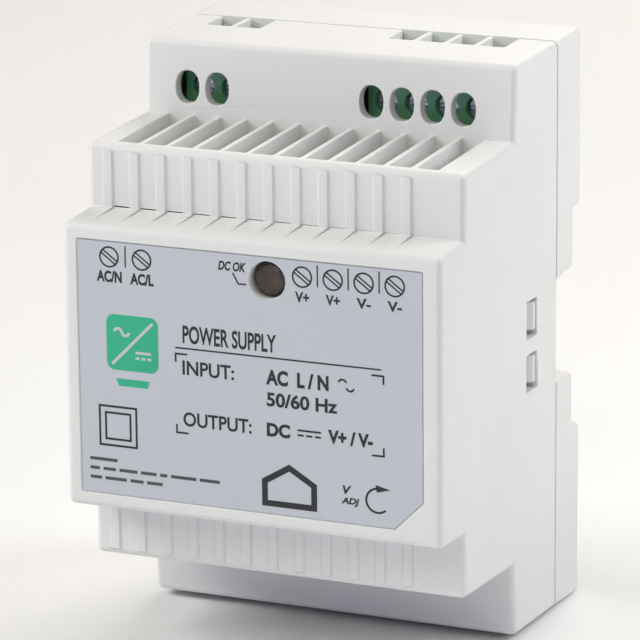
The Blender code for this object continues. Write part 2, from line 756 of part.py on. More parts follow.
def make_transformer():
    """An E-E ferrite core, its moulded bobbin and the taped windings."""
    x = 1.5
    height = -1.0
    rim = [(-10.2, -10.0), (10.2, -10.0), (10.2, 10.0), (-10.2, 10.0)]
    left = [(-7.4, -5.7), (-3.1, -5.7), (-3.1, 5.7), (-7.4, 5.7)]
    right = [(3.1, -5.7), (7.4, -5.7), (7.4, 5.7), (3.1, 5.7)]
    flat = Matrix.Rotation(math.pi, 4, "X")
    outline_solid("transformer_core", [rim, left, right], flat, at(x, 31.5, height), 8.0, "ferrite")
    inner = ((x - 3.4, x + 3.4), (25, 38), (height - 4.3, height + 4.3))
    hub_height = (height - 5.1, height + 5.1)
    bobbin = box("transformer_bobbin", (x - 4.2, x + 4.2), (26.1, 36.9), hub_height, "bobbin_plastic")
    wide = (x - 7.1, x + 7.1)
    tall = (height - 9.8, height + 9.8)
    join(bobbin, box("bobbin_front_flange", wide, (26.1, 27.0), tall))
    join(bobbin, box("bobbin_back_flange", wide, (36.0, 36.9), tall))
    join(bobbin, box("bobbin_upper_foot", wide, (36.4, SEATED), (height + 4.6, height + 9.8)))
    join(bobbin, box("bobbin_lower_foot", wide, (36.4, SEATED), (height - 9.8, height - 4.6)))
    cut(bobbin, box("bobbin_bore", *inner))
    turns_height = (height - 8.8, height + 8.8)
    winding = box("transformer_winding", (x - 6.9, x + 6.9), (27.3, 35.7), turns_height, "winding_tape")
    cut(winding, box("winding_bore", (x - 4.5, x + 4.5), (26, 37), (height - 5.4, height + 5.4)))
    bevel_last(winding, 1.0)


def power_device(name, x, height, side, width=10.0):
    """A tabbed power package on its own heatsink plate; side is +1 where the plate is above it."""
    tab = sorted((height, height - side * 1.3))
    body = sorted((height, height - side * 4.4))
    device = box(name, (x - width / 2, x + width / 2), (27.0, 36.0), body, "epoxy_black")
    join(device, box(f"{name}_tab", (x - width / 2, x + width / 2), (20.6, 28.0), tab))
    mid = height - side * 2.6
    reach = (35.5, SEATED)
    leads = [((x + k - 0.4, x + k + 0.4), reach, (mid - 0.3, mid + 0.3)) for k in (-2.5, 0, 2.5)]
    join(device, boxes(f"{name}_leads", leads))
    cut(device, upright_peg(f"{name}_hole", x, 23.4, height - side * 1.0, 1.75, 4.0))


def upright_peg(name, x, depth, height, radius, length, sides=20):
    """A helper peg standing along the height axis."""
    bm = bmesh.new()
    bmesh.ops.create_cone(
        bm, cap_ends=True, segments=sides, radius1=radius * MM, radius2=radius * MM, depth=length * MM
    )
    mesh = bpy.data.meshes.new(name)
    bm.to_mesh(mesh)
    bm.free()
    return add_object(name, mesh, None, at(x, depth, height))


def heatsink(name, x, height, side, width):
    """A plate standing on the board with its front end folded over."""
    thick = 1.5
    near = height + side * GAP
    far = near + side * thick
    front = 16.0
    fold = far - side * 5.0
    plate = [
        (front + thick, near),
        (SEATED, near),
        (SEATED, far),
        (front, far),
        (front, fold),
        (front + thick, fold),
    ]
    sink = outline_solid(name, [case_outline(plate)], SIDE_ON, (x * MM, 0, 0), width, "aluminium")
    cut(sink, upright_peg(f"{name}_hole", x, 23.4, (near + far) / 2, 1.75, 4.0))


def fixing_screw(name, x, height, side):
    """The screw that clamps a package to its heatsink, head on the package's side."""
    head = height - side * (1.3 + GAP)
    profile = [(0, 1.9), (2.2, 1.9), (2.6, 1.5), (2.6, 0), (1.35, 0), (1.35, -4.6), (0, -4.6)]
    screw = turned(name, profile, at(x, 23.4, head), "plated_steel", 20)
    screw.rotation_euler = (math.pi, 0, 0) if side > 0 else (0, 0, 0)


def make_switching_parts():
    power_device("switching_transistor", 0.5, -17.6, 1)
    heatsink("primary_heatsink", 0.5, -17.6, 1, 15.0)
    fixing_screw("transistor_screw", 0.5, -17.6, 1)
    box("controller_chip", (-6.0, 3.6), (41.0, SEATED), (-37.0, -30.6), "epoxy_black")
    box("optocoupler", (-2.0, 4.6), (40.8, SEATED), (-28.6, -24.0), "epoxy_black")
    disc("y_capacitor", -3.5, 12.9, 3.6, 2.6, "disc_coating")


def make_output_parts():
    power_device("output_rectifier", 19.0, -15.2, 1)
    heatsink("secondary_heatsink", 19.0, -15.2, 1, 13.0)
    fixing_screw("rectifier_screw", 19.0, -15.2, 1)
    can("output_capacitor_1", 19.4, 22.3, 6.25, 25.0)
    can("output_capacitor_2", 19.4, 8.4, 6.25, 25.0)
    spool = [(0, 14), (4.9, 14), (4.9, 12.8), (4.2, 12.6), (4.2, 1.4), (4.9, 1.2), (4.9, 0), (0, 0)]
    turned("output_choke", spool, at(19.4, SEATED, -4.8), "ferrite")


def make_trimmer():
    body = box(
        "trimmer_body",
        (TRIMMER_X - 3.3, TRIMMER_X + 3.3),
        (39.6, SEATED),
        (TRIMMER_HEIGHT - 3.3, TRIMMER_HEIGHT + 3.3),
        "trimmer_blue",
    )
    centre = (TRIMMER_X, TRIMMER_HEIGHT)
    cut(body, front_pegs("trimmer_well", [centre], 2.0, (39, 42)))
    profile = [(0, 0.6), (1.45, 0.6), (1.7, 0.35), (1.7, -1.5), (0, -1.5)]
    rotor = turned("trimmer_rotor", profile, at(TRIMMER_X, 40.1, TRIMMER_HEIGHT), "trimmer_white", 20)
    slot_height = (TRIMMER_HEIGHT - 0.3, TRIMMER_HEIGHT + 0.3)
    cut(rotor, box("trimmer_slot", (TRIMMER_X - 2, TRIMMER_X + 2), (39, 40.2), slot_height))


def make_led():
    """A flat-ended lamp on two long leads that turn into the control board's side."""
    radius = 2.5
    profile = [
        (0, 7.5),
        (radius - 0.5, 7.5),
        (radius - 0.15, 7.35),
        (radius, 7.0),
        (radius, 1.0),
        (radius + 0.4, 1.0),
        (radius + 0.4, 0),
        (0, 0),
    ]
    led = turned("led", profile, at(LED_X, LED_BASE, LED_HEIGHT), "led_lens")
    for side in (-1, 1):
        height = (LED_HEIGHT + side * 1.27 - 0.25, LED_HEIGHT + side * 1.27 + 0.25)
        x = (LED_X - 0.25, LED_X + 0.25)
        join(led, box(f"led_lead_{side}", x, (LED_BASE - 0.5, 14.5), height))
        join(led, box(f"led_lead_turn_{side}", (LED_X - 0.25, 7.2 - GAP), (14.0, 14.5), height))


def shade_round_pieces():
    """Smooth shading on every face, kept sharp where two faces meet at a real edge."""
    for obj in parts.objects:
        if obj.type == "MESH":
            obj.data.shade_smooth()
            obj.data.set_sharp_from_angle(angle=math.radians(35))


clear_scene()
parts = new_collection("din_rail_power_supply")
helpers = new_collection("cutters")

make_front_cover()
make_rear_housing()
make_front_label()
make_latch()
make_latch_spring()
make_terminal_block("terminal_block_ac", AC_POLES)
make_terminal_block("terminal_block_dc", DC_POLES)
for pole_number, pole_x in enumerate(POLES, 1):
    make_terminal_screw(pole_number, pole_x)
    make_clamp(pole_number, pole_x)
    make_contact(pole_number, pole_x)
make_main_board()
make_control_board()
make_insulation_sheet()
make_input_parts()
make_filter_choke()
make_transformer()
make_switching_parts()
make_output_parts()
make_trimmer()
make_led()
shade_round_pieces()
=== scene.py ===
"""Looks of a DIN rail power supply: its moulded case, printed label, terminals and electronics.

Places are in millimetres as the case itself gives them: X across from the middle, "depth" back from the
label side and "height" up from the middle of the mounting rail. at() turns them into the frame's metres.
"""

import json
import math

import bmesh
import bpy
from mathutils import Matrix, Vector


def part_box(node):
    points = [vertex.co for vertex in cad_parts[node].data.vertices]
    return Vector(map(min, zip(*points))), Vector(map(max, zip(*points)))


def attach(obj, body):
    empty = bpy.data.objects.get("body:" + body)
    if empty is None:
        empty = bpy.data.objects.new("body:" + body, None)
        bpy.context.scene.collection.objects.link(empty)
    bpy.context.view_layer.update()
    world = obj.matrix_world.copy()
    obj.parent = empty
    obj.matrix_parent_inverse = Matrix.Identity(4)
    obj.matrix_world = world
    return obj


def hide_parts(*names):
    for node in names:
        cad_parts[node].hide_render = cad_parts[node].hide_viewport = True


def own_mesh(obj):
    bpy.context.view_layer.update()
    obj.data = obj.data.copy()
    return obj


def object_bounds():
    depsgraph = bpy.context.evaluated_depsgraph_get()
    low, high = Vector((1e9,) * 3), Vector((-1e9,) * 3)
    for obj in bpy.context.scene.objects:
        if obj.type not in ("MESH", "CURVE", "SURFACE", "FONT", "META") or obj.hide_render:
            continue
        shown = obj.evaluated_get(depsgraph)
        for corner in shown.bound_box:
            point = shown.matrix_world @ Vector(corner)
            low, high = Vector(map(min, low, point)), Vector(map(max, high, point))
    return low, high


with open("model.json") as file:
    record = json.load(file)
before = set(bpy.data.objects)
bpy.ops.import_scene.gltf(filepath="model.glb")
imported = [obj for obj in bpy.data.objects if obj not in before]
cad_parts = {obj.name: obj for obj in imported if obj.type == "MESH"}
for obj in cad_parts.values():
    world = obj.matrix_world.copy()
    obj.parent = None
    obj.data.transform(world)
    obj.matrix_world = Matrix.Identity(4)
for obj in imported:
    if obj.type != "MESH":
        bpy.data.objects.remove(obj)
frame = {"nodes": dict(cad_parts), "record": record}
cad_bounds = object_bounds()

MM = 0.001
LABEL_FACE = 0.1

board_low, board_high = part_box("main_board")
label_low, label_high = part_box("front_label")
ORIGIN = Vector(
    (
        (board_low.x + board_high.x) / 2,
        label_low.y - LABEL_FACE * MM,
        (board_low.z + board_high.z) / 2,
    )
)

# Case
FRONT_TIER_DEPTH = 9.0
FRONT_TIER_HALF = (22.0, 22.5)
RIB_PITCH = 4.43
FIRST_RIB = -26.45
RIB_COUNT = 12
RIB_WIDTH = 1.6
RIB_PROUD = 0.3

# Terminals
POLES = 6

# Lamp
LED_X = 2.95
LED_HEIGHT = 16.1
LED_BASE = 8.4

# Thickness of the print
INK = 0.02

# Surfaces: the middle span of a noise, the least angle of a hard edge and the most of a flat face in
# degrees, the distance in millimetres at which points are one, and how flat faces outweigh the rest
NOISE_SPAN = (0.3, 0.7)
HARD_EDGE = 42
FLAT = 0.4
WELD = 0.002
FLAT_FACE_WEIGHT = 80

# Pieces whose moulded, cut or pressed edges are broken by this many millimetres
HARD_NODES = {
    "main_board": 0.06,
    "control_board": 0.06,
    "insulation_sheet": 0.04,
    "inrush_thermistor": 0.25,
    "surge_varistor": 0.3,
    "y_capacitor": 0.25,
    "x_capacitor": 0.35,
    "bridge_rectifier": 0.2,
    "filter_choke_core": 0.4,
    "transformer_core": 0.3,
    "transformer_bobbin": 0.1,
    "switching_transistor": 0.12,
    "output_rectifier": 0.12,
    "primary_heatsink": 0.12,
    "secondary_heatsink": 0.12,
    "controller_chip": 0.1,
    "optocoupler": 0.1,
    "trimmer_body": 0.15,
    "trimmer_rotor": 0.08,
}


def at(x, depth, height):
    """The frame's point, in metres, of a place on the case in millimetres."""
    return ORIGIN + Vector((x, depth, height)) * MM


# Materials


class Nodes:
    """A material's node tree with short calls for the few nodes that every finish here uses."""

    def __init__(self, name):
        self.material = bpy.data.materials.new(name)
        self.material.use_nodes = True
        self.tree = self.material.node_tree
        self.shader = self.tree.nodes["Principled BSDF"]
        self.place = self.tree.nodes.new("ShaderNodeTexCoord").outputs["Object"]

    def add(self, kind, **settings):
        node = self.tree.nodes.new(kind)
        for key, value in settings.items():
            setattr(node, key, value)
        return node

    def link(self, source, target):
        self.tree.links.new(source, target)

    def noise(self, scale, detail=3.0, stretch=None):
        """A noise's factor; scale is in cells per metre."""
        node = self.add("ShaderNodeTexNoise")
        node.inputs["Scale"].default_value = scale
        node.inputs["Detail"].default_value = detail
        if stretch:
            mapping = self.add("ShaderNodeMapping")
            mapping.inputs["Scale"].default_value = stretch
            self.link(self.place, mapping.inputs["Vector"])
            self.link(mapping.outputs["Vector"], node.inputs["Vector"])
        else:
            self.link(self.place, node.inputs["Vector"])
        return node.outputs["Fac"]

    def ranged(self, source, low, high):
        """Spreads a noise, which keeps mostly to its middle, over a range."""
        node = self.add("ShaderNodeMapRange")
        node.inputs["From Min"].default_value = NOISE_SPAN[0]
        node.inputs["From Max"].default_value = NOISE_SPAN[1]
        node.inputs["To Min"].default_value = low
        node.inputs["To Max"].default_value = high
        self.link(source, node.inputs["Value"])
        return node.outputs["Result"]

    def mixed(self, factor, first, second):
        node = self.add("ShaderNodeMix", data_type="RGBA")
        self.link(factor, node.inputs["Factor"])
        for socket, colour in ((node.inputs["A"], first), (node.inputs["B"], second)):
            socket.default_value = (*colour, 1.0)
        return node.outputs["Result"]

    def bump(self, source, distance, normal=None):
        node = self.add("ShaderNodeBump")
        node.inputs["Distance"].default_value = distance * MM
        self.link(source, node.inputs["Height"])
        if normal:
            self.link(normal, node.inputs["Normal"])
        return node.outputs["Normal"]


def finish(name, tones, rough, grain, relief, patch=70.0, stretch=None, **constants):
    """A surface of two close tones in soft patches, with a fine grain in its gloss and its relief.

    grain is in cells per metre, relief in millimetres, and rough is the lowest and highest roughness.
    """
    nodes = Nodes(name)
    shader = nodes.shader
    patches = nodes.ranged(nodes.noise(patch, 4.0), 0.0, 1.0)
    nodes.link(nodes.mixed(patches, *tones), shader.inputs["Base Color"])
    fine = nodes.noise(grain, 2.0, stretch)
    nodes.link(nodes.ranged(fine, *rough), shader.inputs["Roughness"])
    nodes.link(nodes.bump(fine, relief), shader.inputs["Normal"])
    for socket, value in constants.items():
        shader.inputs[socket.replace("_", " ")].default_value = value
    return nodes.material


def moulded_case():
    """Light grey ABS with a fine spark-eroded texture and broad, faint flow marks."""
    nodes = Nodes("case_plastic")
    shader = nodes.shader
    patches = nodes.ranged(nodes.noise(35.0, 5.0), 0.0, 1.0)
    tone = nodes.mixed(patches, (0.800, 0.792, 0.780), (0.770, 0.764, 0.755))
    nodes.link(tone, shader.inputs["Base Color"])
    texture = nodes.noise(3600.0, 2.5)
    flow = nodes.noise(160.0, 3.0)
    gloss = nodes.add("ShaderNodeMath", operation="ADD")
    nodes.link(nodes.ranged(texture, 0.38, 0.50), gloss.inputs[0])
    nodes.link(nodes.ranged(flow, -0.03, 0.04), gloss.inputs[1])
    nodes.link(gloss.outputs[0], shader.inputs["Roughness"])
    broad = nodes.bump(flow, 0.02)
    nodes.link(nodes.bump(texture, 0.010, broad), shader.inputs["Normal"])
    shader.inputs["IOR"].default_value = 1.53
    shader.inputs["Specular IOR Level"].default_value = 0.42
    return nodes.material


def circuit_board():
    """Green solder mask over faint raised tracks."""
    nodes = Nodes("board_laminate")
    shader = nodes.shader
    brick = nodes.add("ShaderNodeTexBrick")
    nodes.link(nodes.place, brick.inputs["Vector"])
    brick.inputs["Scale"].default_value = 140.0
    brick.inputs["Mortar Size"].default_value = 0.03
    tracks = brick.outputs["Fac"]
    tone = nodes.mixed(tracks, (0.020, 0.130, 0.060), (0.035, 0.190, 0.085))
    nodes.link(tone, shader.inputs["Base Color"])
    weave = nodes.noise(1800.0, 2.0)
    nodes.link(nodes.ranged(weave, 0.28, 0.42), shader.inputs["Roughness"])
    nodes.link(nodes.bump(weave, 0.01, nodes.bump(tracks, 0.03)), shader.inputs["Normal"])
    return nodes.material


def make_materials():
    """One finish for each material slot of the record, and a few for printed and added pieces."""
    steel = {"Metallic": 1.0}
    return {
        "case_plastic": moulded_case(),
        "board_laminate": circuit_board(),
        "latch_plastic": finish(
            "latch_plastic",
            ((0.66, 0.655, 0.64), (0.62, 0.615, 0.60)),
            (0.38, 0.50),
            3200.0,
            0.010,
        ),
        "label_film": finish(
            "label_film",
            ((0.545, 0.567, 0.612), (0.532, 0.555, 0.602)),
            (0.30, 0.38),
            900.0,
            0.004,
            patch=45.0,
            Coat_Weight=0.25,
            Coat_Roughness=0.22,
        ),
        "terminal_plastic": finish(
            "terminal_plastic",
            ((0.230, 0.560, 0.330), (0.205, 0.525, 0.300)),
            (0.20, 0.30),
            2600.0,
            0.006,
        ),
        "plated_steel": finish(
            "plated_steel",
            ((0.84, 0.85, 0.87), (0.76, 0.77, 0.80)),
            (0.30, 0.48),
            5000.0,
            0.006,
            stretch=(1.0, 8.0, 8.0),
            **steel,
        ),
        "spring_steel": finish(
            "spring_steel",
            ((0.52, 0.53, 0.55), (0.42, 0.43, 0.45)),
            (0.20, 0.34),
            4000.0,
            0.004,
            **steel,
        ),
        "tinned_brass": finish(
            "tinned_brass",
            ((0.72, 0.68, 0.58), (0.62, 0.58, 0.48)),
            (0.28, 0.44),
            3000.0,
            0.006,
            **steel,
        ),
        "insulation_film": finish(
            "insulation_film",
            ((0.62, 0.60, 0.50), (0.56, 0.54, 0.44)),
            (0.22, 0.32),
            1200.0,
            0.005,
        ),
        "aluminium": finish(
            "aluminium",
            ((0.74, 0.75, 0.76), (0.66, 0.67, 0.69)),
            (0.30, 0.48),
            2500.0,
            0.008,
            stretch=(12.0, 1.0, 12.0),
            **steel,
        ),
        "ferrite": finish(
            "ferrite",
            ((0.055, 0.055, 0.060), (0.035, 0.035, 0.040)),
            (0.50, 0.75),
            2200.0,
            0.02,
        ),
        "bobbin_plastic": finish(
            "bobbin_plastic",
            ((0.035, 0.035, 0.035), (0.025, 0.025, 0.025)),
            (0.35, 0.50),
            2500.0,
            0.01,
        ),
        "winding_tape": finish(
            "winding_tape",
            ((0.78, 0.56, 0.06), (0.68, 0.46, 0.04)),
            (0.22, 0.38),
            700.0,
            0.03,
            stretch=(1.0, 9.0, 1.0),
        ),
        "copper_wire": finish(
            "copper_wire",
            ((0.72, 0.30, 0.12), (0.58, 0.22, 0.08)),
            (0.18, 0.32),
            2500.0,
            0.004,
            Metallic=1.0,
            Coat_Weight=0.6,
            Coat_Roughness=0.15,
        ),
        "capacitor_sleeve": finish(
            "capacitor_sleeve",
            ((0.020, 0.028, 0.050), (0.014, 0.020, 0.038)),
            (0.22, 0.36),
            900.0,
            0.01,
        ),
        "film_capacitor_box": finish(
            "film_capacitor_box",
            ((0.76, 0.55, 0.08), (0.70, 0.49, 0.06)),
            (0.38, 0.52),
            2400.0,
            0.012,
        ),
        "disc_coating": finish(
            "disc_coating",
            ((0.06, 0.17, 0.46), (0.05, 0.14, 0.40)),
            (0.26, 0.42),
            700.0,
            0.03,
        ),
        "epoxy_black": finish(
            "epoxy_black",
            ((0.024, 0.024, 0.025), (0.016, 0.016, 0.017)),
            (0.42, 0.62),
            2800.0,
            0.012,
        ),
        "trimmer_blue": finish(
            "trimmer_blue",
            ((0.03, 0.12, 0.52), (0.025, 0.10, 0.46)),
            (0.34, 0.46),
            2500.0,
            0.01,
        ),
        "trimmer_white": finish(
            "trimmer_white",
            ((0.80, 0.79, 0.76), (0.76, 0.75, 0.72)),
            (0.34, 0.46),
            2500.0,
            0.01,
        ),
        "led_lens": finish(
            "led_lens",
            ((0.130, 0.085, 0.060), (0.110, 0.070, 0.050)),
            (0.06, 0.12),
            900.0,
            0.003,
            Transmission_Weight=0.75,
            IOR=1.54,
        ),
        "lamp_metal": finish(
            "lamp_metal",
            ((0.66, 0.66, 0.68), (0.58, 0.58, 0.60)),
            (0.22, 0.34),
            3000.0,
            0.004,
            **steel,
        ),
        "grey_ink": finish(
            "grey_ink",
            ((0.060, 0.062, 0.070), (0.075, 0.077, 0.086)),
            (0.34, 0.46),
            1500.0,
            0.004,
        ),
        "white_ink": finish(
            "white_ink",
            ((0.70, 0.70, 0.68), (0.64, 0.64, 0.62)),
            (0.36, 0.48),
            1500.0,
            0.004,
        ),
        # Black print on the label, also used as painted shade in the score grooves of the can lids
        "black_print_and_painted_shade": finish(
            "black_print_and_painted_shade",
            ((0.012, 0.012, 0.014), (0.020, 0.020, 0.023)),
            (0.34, 0.46),
            1500.0,
            0.004,
        ),
        "green_ink": finish(
            "green_ink",
            ((0.018, 0.400, 0.215), (0.024, 0.440, 0.245)),
            (0.32, 0.42),
            1500.0,
            0.004,
        ),
        "floor": finish(
            "floor",
            ((0.86, 0.86, 0.86), (0.84, 0.84, 0.84)),
            (0.55, 0.70),
            300.0,
            0.05,
            patch=4.0,
        ),
    }


# Pieces


def new_object(name, mesh):
    obj = bpy.data.objects.new(name, mesh)
    bpy.context.scene.collection.objects.link(obj)
    return obj


def body_of(node):
    return next(body for body, nodes in frame["record"]["behaviour"]["bodies"].items() if node in nodes)


def slot_of(node):
    return next(row["material_slot"] for row in frame["record"]["subparts"] if row["node"] == node)


def soften(obj, width, segments=2):
    """Breaks every hard edge with a fine rounding and lets the flat faces keep their own normals."""
    obj.data.shade_smooth()
    bevel = obj.modifiers.new("broken_edges", "BEVEL")
    bevel.limit_method = "ANGLE"
    bevel.angle_limit = math.radians(HARD_EDGE)
    bevel.width = width * MM
    bevel.segments = segments
    bevel.use_clamp_overlap = False
    bevel.miter_outer = "MITER_ARC"
    weighted = obj.modifiers.new("flat_faces", "WEIGHTED_NORMAL")
    weighted.weight = FLAT_FACE_WEIGHT
    weighted.keep_sharp = True


def refined(node, width, segments=2):
    """Stands for a CAD node with the same shape, its flat faces whole and its edges broken."""
    mesh = frame["nodes"][node].data.copy()
    mesh.name = f"{node}_surface"
    bm = bmesh.new()
    bm.from_mesh(mesh)
    bmesh.ops.remove_doubles(bm, verts=bm.verts, dist=WELD * MM)
    bmesh.ops.dissolve_limit(bm, angle_limit=math.radians(FLAT), verts=bm.verts, edges=bm.edges)
    bm.to_mesh(mesh)
    bm.free()
    mesh.materials.clear()
    obj = new_object(f"{node}_surface", mesh)
    finish_piece(obj, slot_of(node), body_of(node), node)
    soften(obj, width, segments)


def finish_piece(obj, slot, body, *replaced, material=None):
    """Gives a piece the finish of its slot, or the one named instead, puts it on the body it rides on,
    and hides the nodes it stands for.
    """
    obj.data.materials.append(materials[material or slot])
    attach(obj, body)
    if replaced:
        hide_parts(*replaced)


def mesh_piece(name, bm):
    bmesh.ops.recalc_face_normals(bm, faces=bm.faces)
    mesh = bpy.data.meshes.new(name)
    bm.to_mesh(mesh)
    bm.free()
    return new_object(name, mesh)


def add_block(bm, corners):
    """A closed block from eight points: four around one end, then the four around the other."""
    verts = [bm.verts.new(corner) for corner in corners]
    for face in ((3, 2, 1, 0), (4, 5, 6, 7), (0, 1, 5, 4), (1, 2, 6, 5), (2, 3, 7, 6), (3, 0, 4, 7)):
        bm.faces.new([verts[i] for i in face])


def make_rib_tails():
    """Each rib of the middle tier runs on over the front tier and sinks into it towards the front."""
    bm = bmesh.new()
    back = FRONT_TIER_DEPTH + 0.1
    front = 1.2
    low, high = FRONT_TIER_HALF
    sunk = 0.15
    for side in (1, -1):
        for number in range(RIB_COUNT):
            right = FIRST_RIB + RIB_PITCH * number
            left = right - RIB_WIDTH
            ends = []
            for depth, proud in ((front, -0.05), (back, RIB_PROUD)):
                surface = low + (high - low) * depth / FRONT_TIER_DEPTH
                for x, lift in ((left, -sunk), (right, -sunk), (right, proud), (left, proud)):
                    ends.append(at(x, depth, side * (surface + lift)))
            add_block(bm, ends)
    tails = mesh_piece("cover_rib_tails", bm)
    finish_piece(tails, "case_plastic", "case")
    soften(tails, 0.06)


def tube(bm, path, radius, sides=10):
    """A round bar swept along points, closed at both ends."""
    rings = []
    side = None
    for i, point in enumerate(path):
        ahead = path[min(i + 1, len(path) - 1)] - path[max(i - 1, 0)]
        ahead.normalize()
        if side is None:
            side = ahead.orthogonal().normalized()
        side = (side - ahead * side.dot(ahead)).normalized()
        other = ahead.cross(side)
        ring = []
        for step in range(sides):
            angle = 2 * math.pi * step / sides
            outward = side * math.cos(angle) + other * math.sin(angle)
            ring.append(bm.verts.new(point + outward * radius * MM))
        rings.append(ring)
    for near, far in zip(rings, rings[1:]):
        for step in range(sides):
            after = (step + 1) % sides
            bm.faces.new((near[step], near[after], far[after], far[step]))
    bm.faces.new(rings[0][::-1])
    bm.faces.new(rings[-1])


def lathed(bm, profile, centre, steps=40):
    """A closed shape turned around the depth; profile is (radius, reach) from one end to the other."""
    rings = []
    for radius, reach in profile:
        ring = []
        for step in range(1 if radius == 0 else steps):
            angle = 2 * math.pi * step / steps
            across = radius * math.cos(angle)
            up = radius * math.sin(angle)
            offset = (across, reach, up)
            ring.append(bm.verts.new(at(*(a + b for a, b in zip(centre, offset)))))
        rings.append(ring)
    for near, far in zip(rings, rings[1:]):
        for step in range(steps):
            after = (step + 1) % steps
            corners = [near[step % len(near)], near[after % len(near)]]
            corners += [far[after % len(far)], far[step % len(far)]]
            bm.faces.new(list(dict.fromkeys(corners)))


def make_lamp():
    """The status lamp: a smoky flat-ended lens, and its two legs with the cup and the post in it."""
    radius = 2.5
    rim = 0.5
    reach = 7.5
    profile = [(0, -reach)]
    for turn in range(90, -1, -15):
        across = math.cos(math.radians(turn)) * rim
        up = math.sin(math.radians(turn)) * rim
        profile.append((radius - rim + across, rim - reach - up))
    profile += [(radius, -1.1), (2.6, -1.0), (2.86, -0.95), (2.9, -0.85)]
    profile += [(2.9, -0.05), (2.85, 0), (0, 0)]
    bm = bmesh.new()
    lathed(bm, profile, (LED_X, LED_BASE, LED_HEIGHT))
    lens = mesh_piece("led_lens_body", bm)
    lens.data.shade_smooth()
    lens.data.set_sharp_from_angle(angle=math.radians(40))
    finish_piece(lens, "led_lens", "case", "led")
    bm = bmesh.new()
    turn_depth = 14.25
    half_pitch = 1.27
    for side, tip in ((-1, 4.3), (1, 5.0)):
        height = LED_HEIGHT + side * half_pitch
        into = [at(LED_X, depth, height) for depth in (tip, LED_BASE + 2.0, turn_depth - 0.5)]
        bend = [at(LED_X + 0.15, turn_depth - 0.12, height), at(LED_X + 0.5, turn_depth, height)]
        tube(bm, into + bend + [at(6.9, turn_depth, height)], 0.24, 8)
    cup = [(0, 0.9), (0.5, 0.9), (0.55, 0.3), (0.95, -0.5), (0.85, -0.5), (0.45, 0.1), (0, 0.15)]
    lathed(bm, cup, (LED_X, 4.6, LED_HEIGHT - 0.75), steps=20)
    post = ((-0.3, 0.5), (0.3, 0.5), (0.3, 1.6), (-0.3, 1.6))
    block = [at(LED_X + x, depth, LED_HEIGHT + up) for depth in (4.4, 5.3) for x, up in post]
    add_block(bm, block)
    legs = mesh_piece("led_legs", bm)
    legs.data.shade_smooth()
    legs.data.set_sharp_from_angle(angle=math.radians(40))
    finish_piece(legs, "led_lens", "case", material="lamp_metal")


def make_latch_coil():
    """The latch's spring as a smooth wound wire with its ends closed down flat."""
    low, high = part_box("latch_spring")
    wire = 0.225
    radius = (high.x - low.x) / 2 / MM - wire
    middle = (low + high) / 2
    length = (high.z - low.z) / MM - 2 * wire
    turns = 7
    per_turn = 28
    closed = 0.9
    path = []
    for step in range(turns * per_turn + 1):
        turn = step / per_turn
        eased = min(max((turn - closed) / (turns - 2 * closed), 0.0), 1.0)
        rise = 2.0 * wire * (min(turn, closed) + max(turn - turns + closed, 0.0))
        rise += (length - 4.0 * wire * closed) * eased
        angle = 2 * math.pi * turn
        place = Vector((radius * math.cos(angle), radius * math.sin(angle), wire + rise)) * MM
        path.append(Vector((middle.x, middle.y, low.z)) + place)
    bm = bmesh.new()
    tube(bm, path, wire, 10)
    coil = mesh_piece("latch_spring_coil", bm)
    coil.data.shade_smooth()
    finish_piece(coil, "spring_steel", "case", "latch_spring")
    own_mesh(coil)


def wound(name, node, centre, half, corner, depth, turns, hole, slot="copper_wire"):
    """A layer of round wire on a rounded rectangular former whose axis runs along the depth.

    centre is (x, height), half is the outside half width and half height, and hole the inside ones.
    """
    x_mid, height_mid = centre
    pitch = (depth[1] - depth[0]) / turns
    around = 40
    per_turn = 8

    def loop(half_x, half_height, radius, place):
        ring = []
        for step in range(around):
            angle = 2 * math.pi * (step + 0.5) / around
            across = math.cos(angle)
            up = math.sin(angle)
            x = math.copysign(half_x - radius, across) + radius * across
            height = math.copysign(half_height - radius, up) + radius * up
            ring.append(bm.verts.new(at(x_mid + x, place, height_mid + height)))
        return ring

    bm = bmesh.new()
    rings = [loop(*hole, 0.4, depth[0])]
    for step in range(turns * per_turn + 1):
        share = (step % per_turn) / per_turn
        sunk = pitch / 2 * (1 - math.sqrt(max(0.0, 1 - (2 * share - 1) ** 2))) if share else pitch / 2
        sunk = min(sunk, pitch * 0.42)
        rings.append(loop(half[0] - sunk, half[1] - sunk, corner, depth[0] + pitch * step / per_turn))
    rings.append(loop(*hole, 0.4, depth[1]))
    for near, far in zip(rings, rings[1:] + rings[:1]):
        for step in range(around):
            after = (step + 1) % around
            bm.faces.new((near[step], near[after], far[after], far[step]))
    piece = mesh_piece(name, bm)
    piece.data.shade_smooth()
    piece.data.set_sharp_from_angle(angle=math.radians(70))
    finish_piece(piece, slot, "case", *((node,) if node else ()))


def node_span(node):
    """A CAD node's limits on the case's own scale: x, depth and height, each low and high."""
    low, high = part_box(node)
    low = (low - ORIGIN) / MM
    high = (high - ORIGIN) / MM
    return (low.x, high.x), (low.y, high.y), (low.z, high.z)


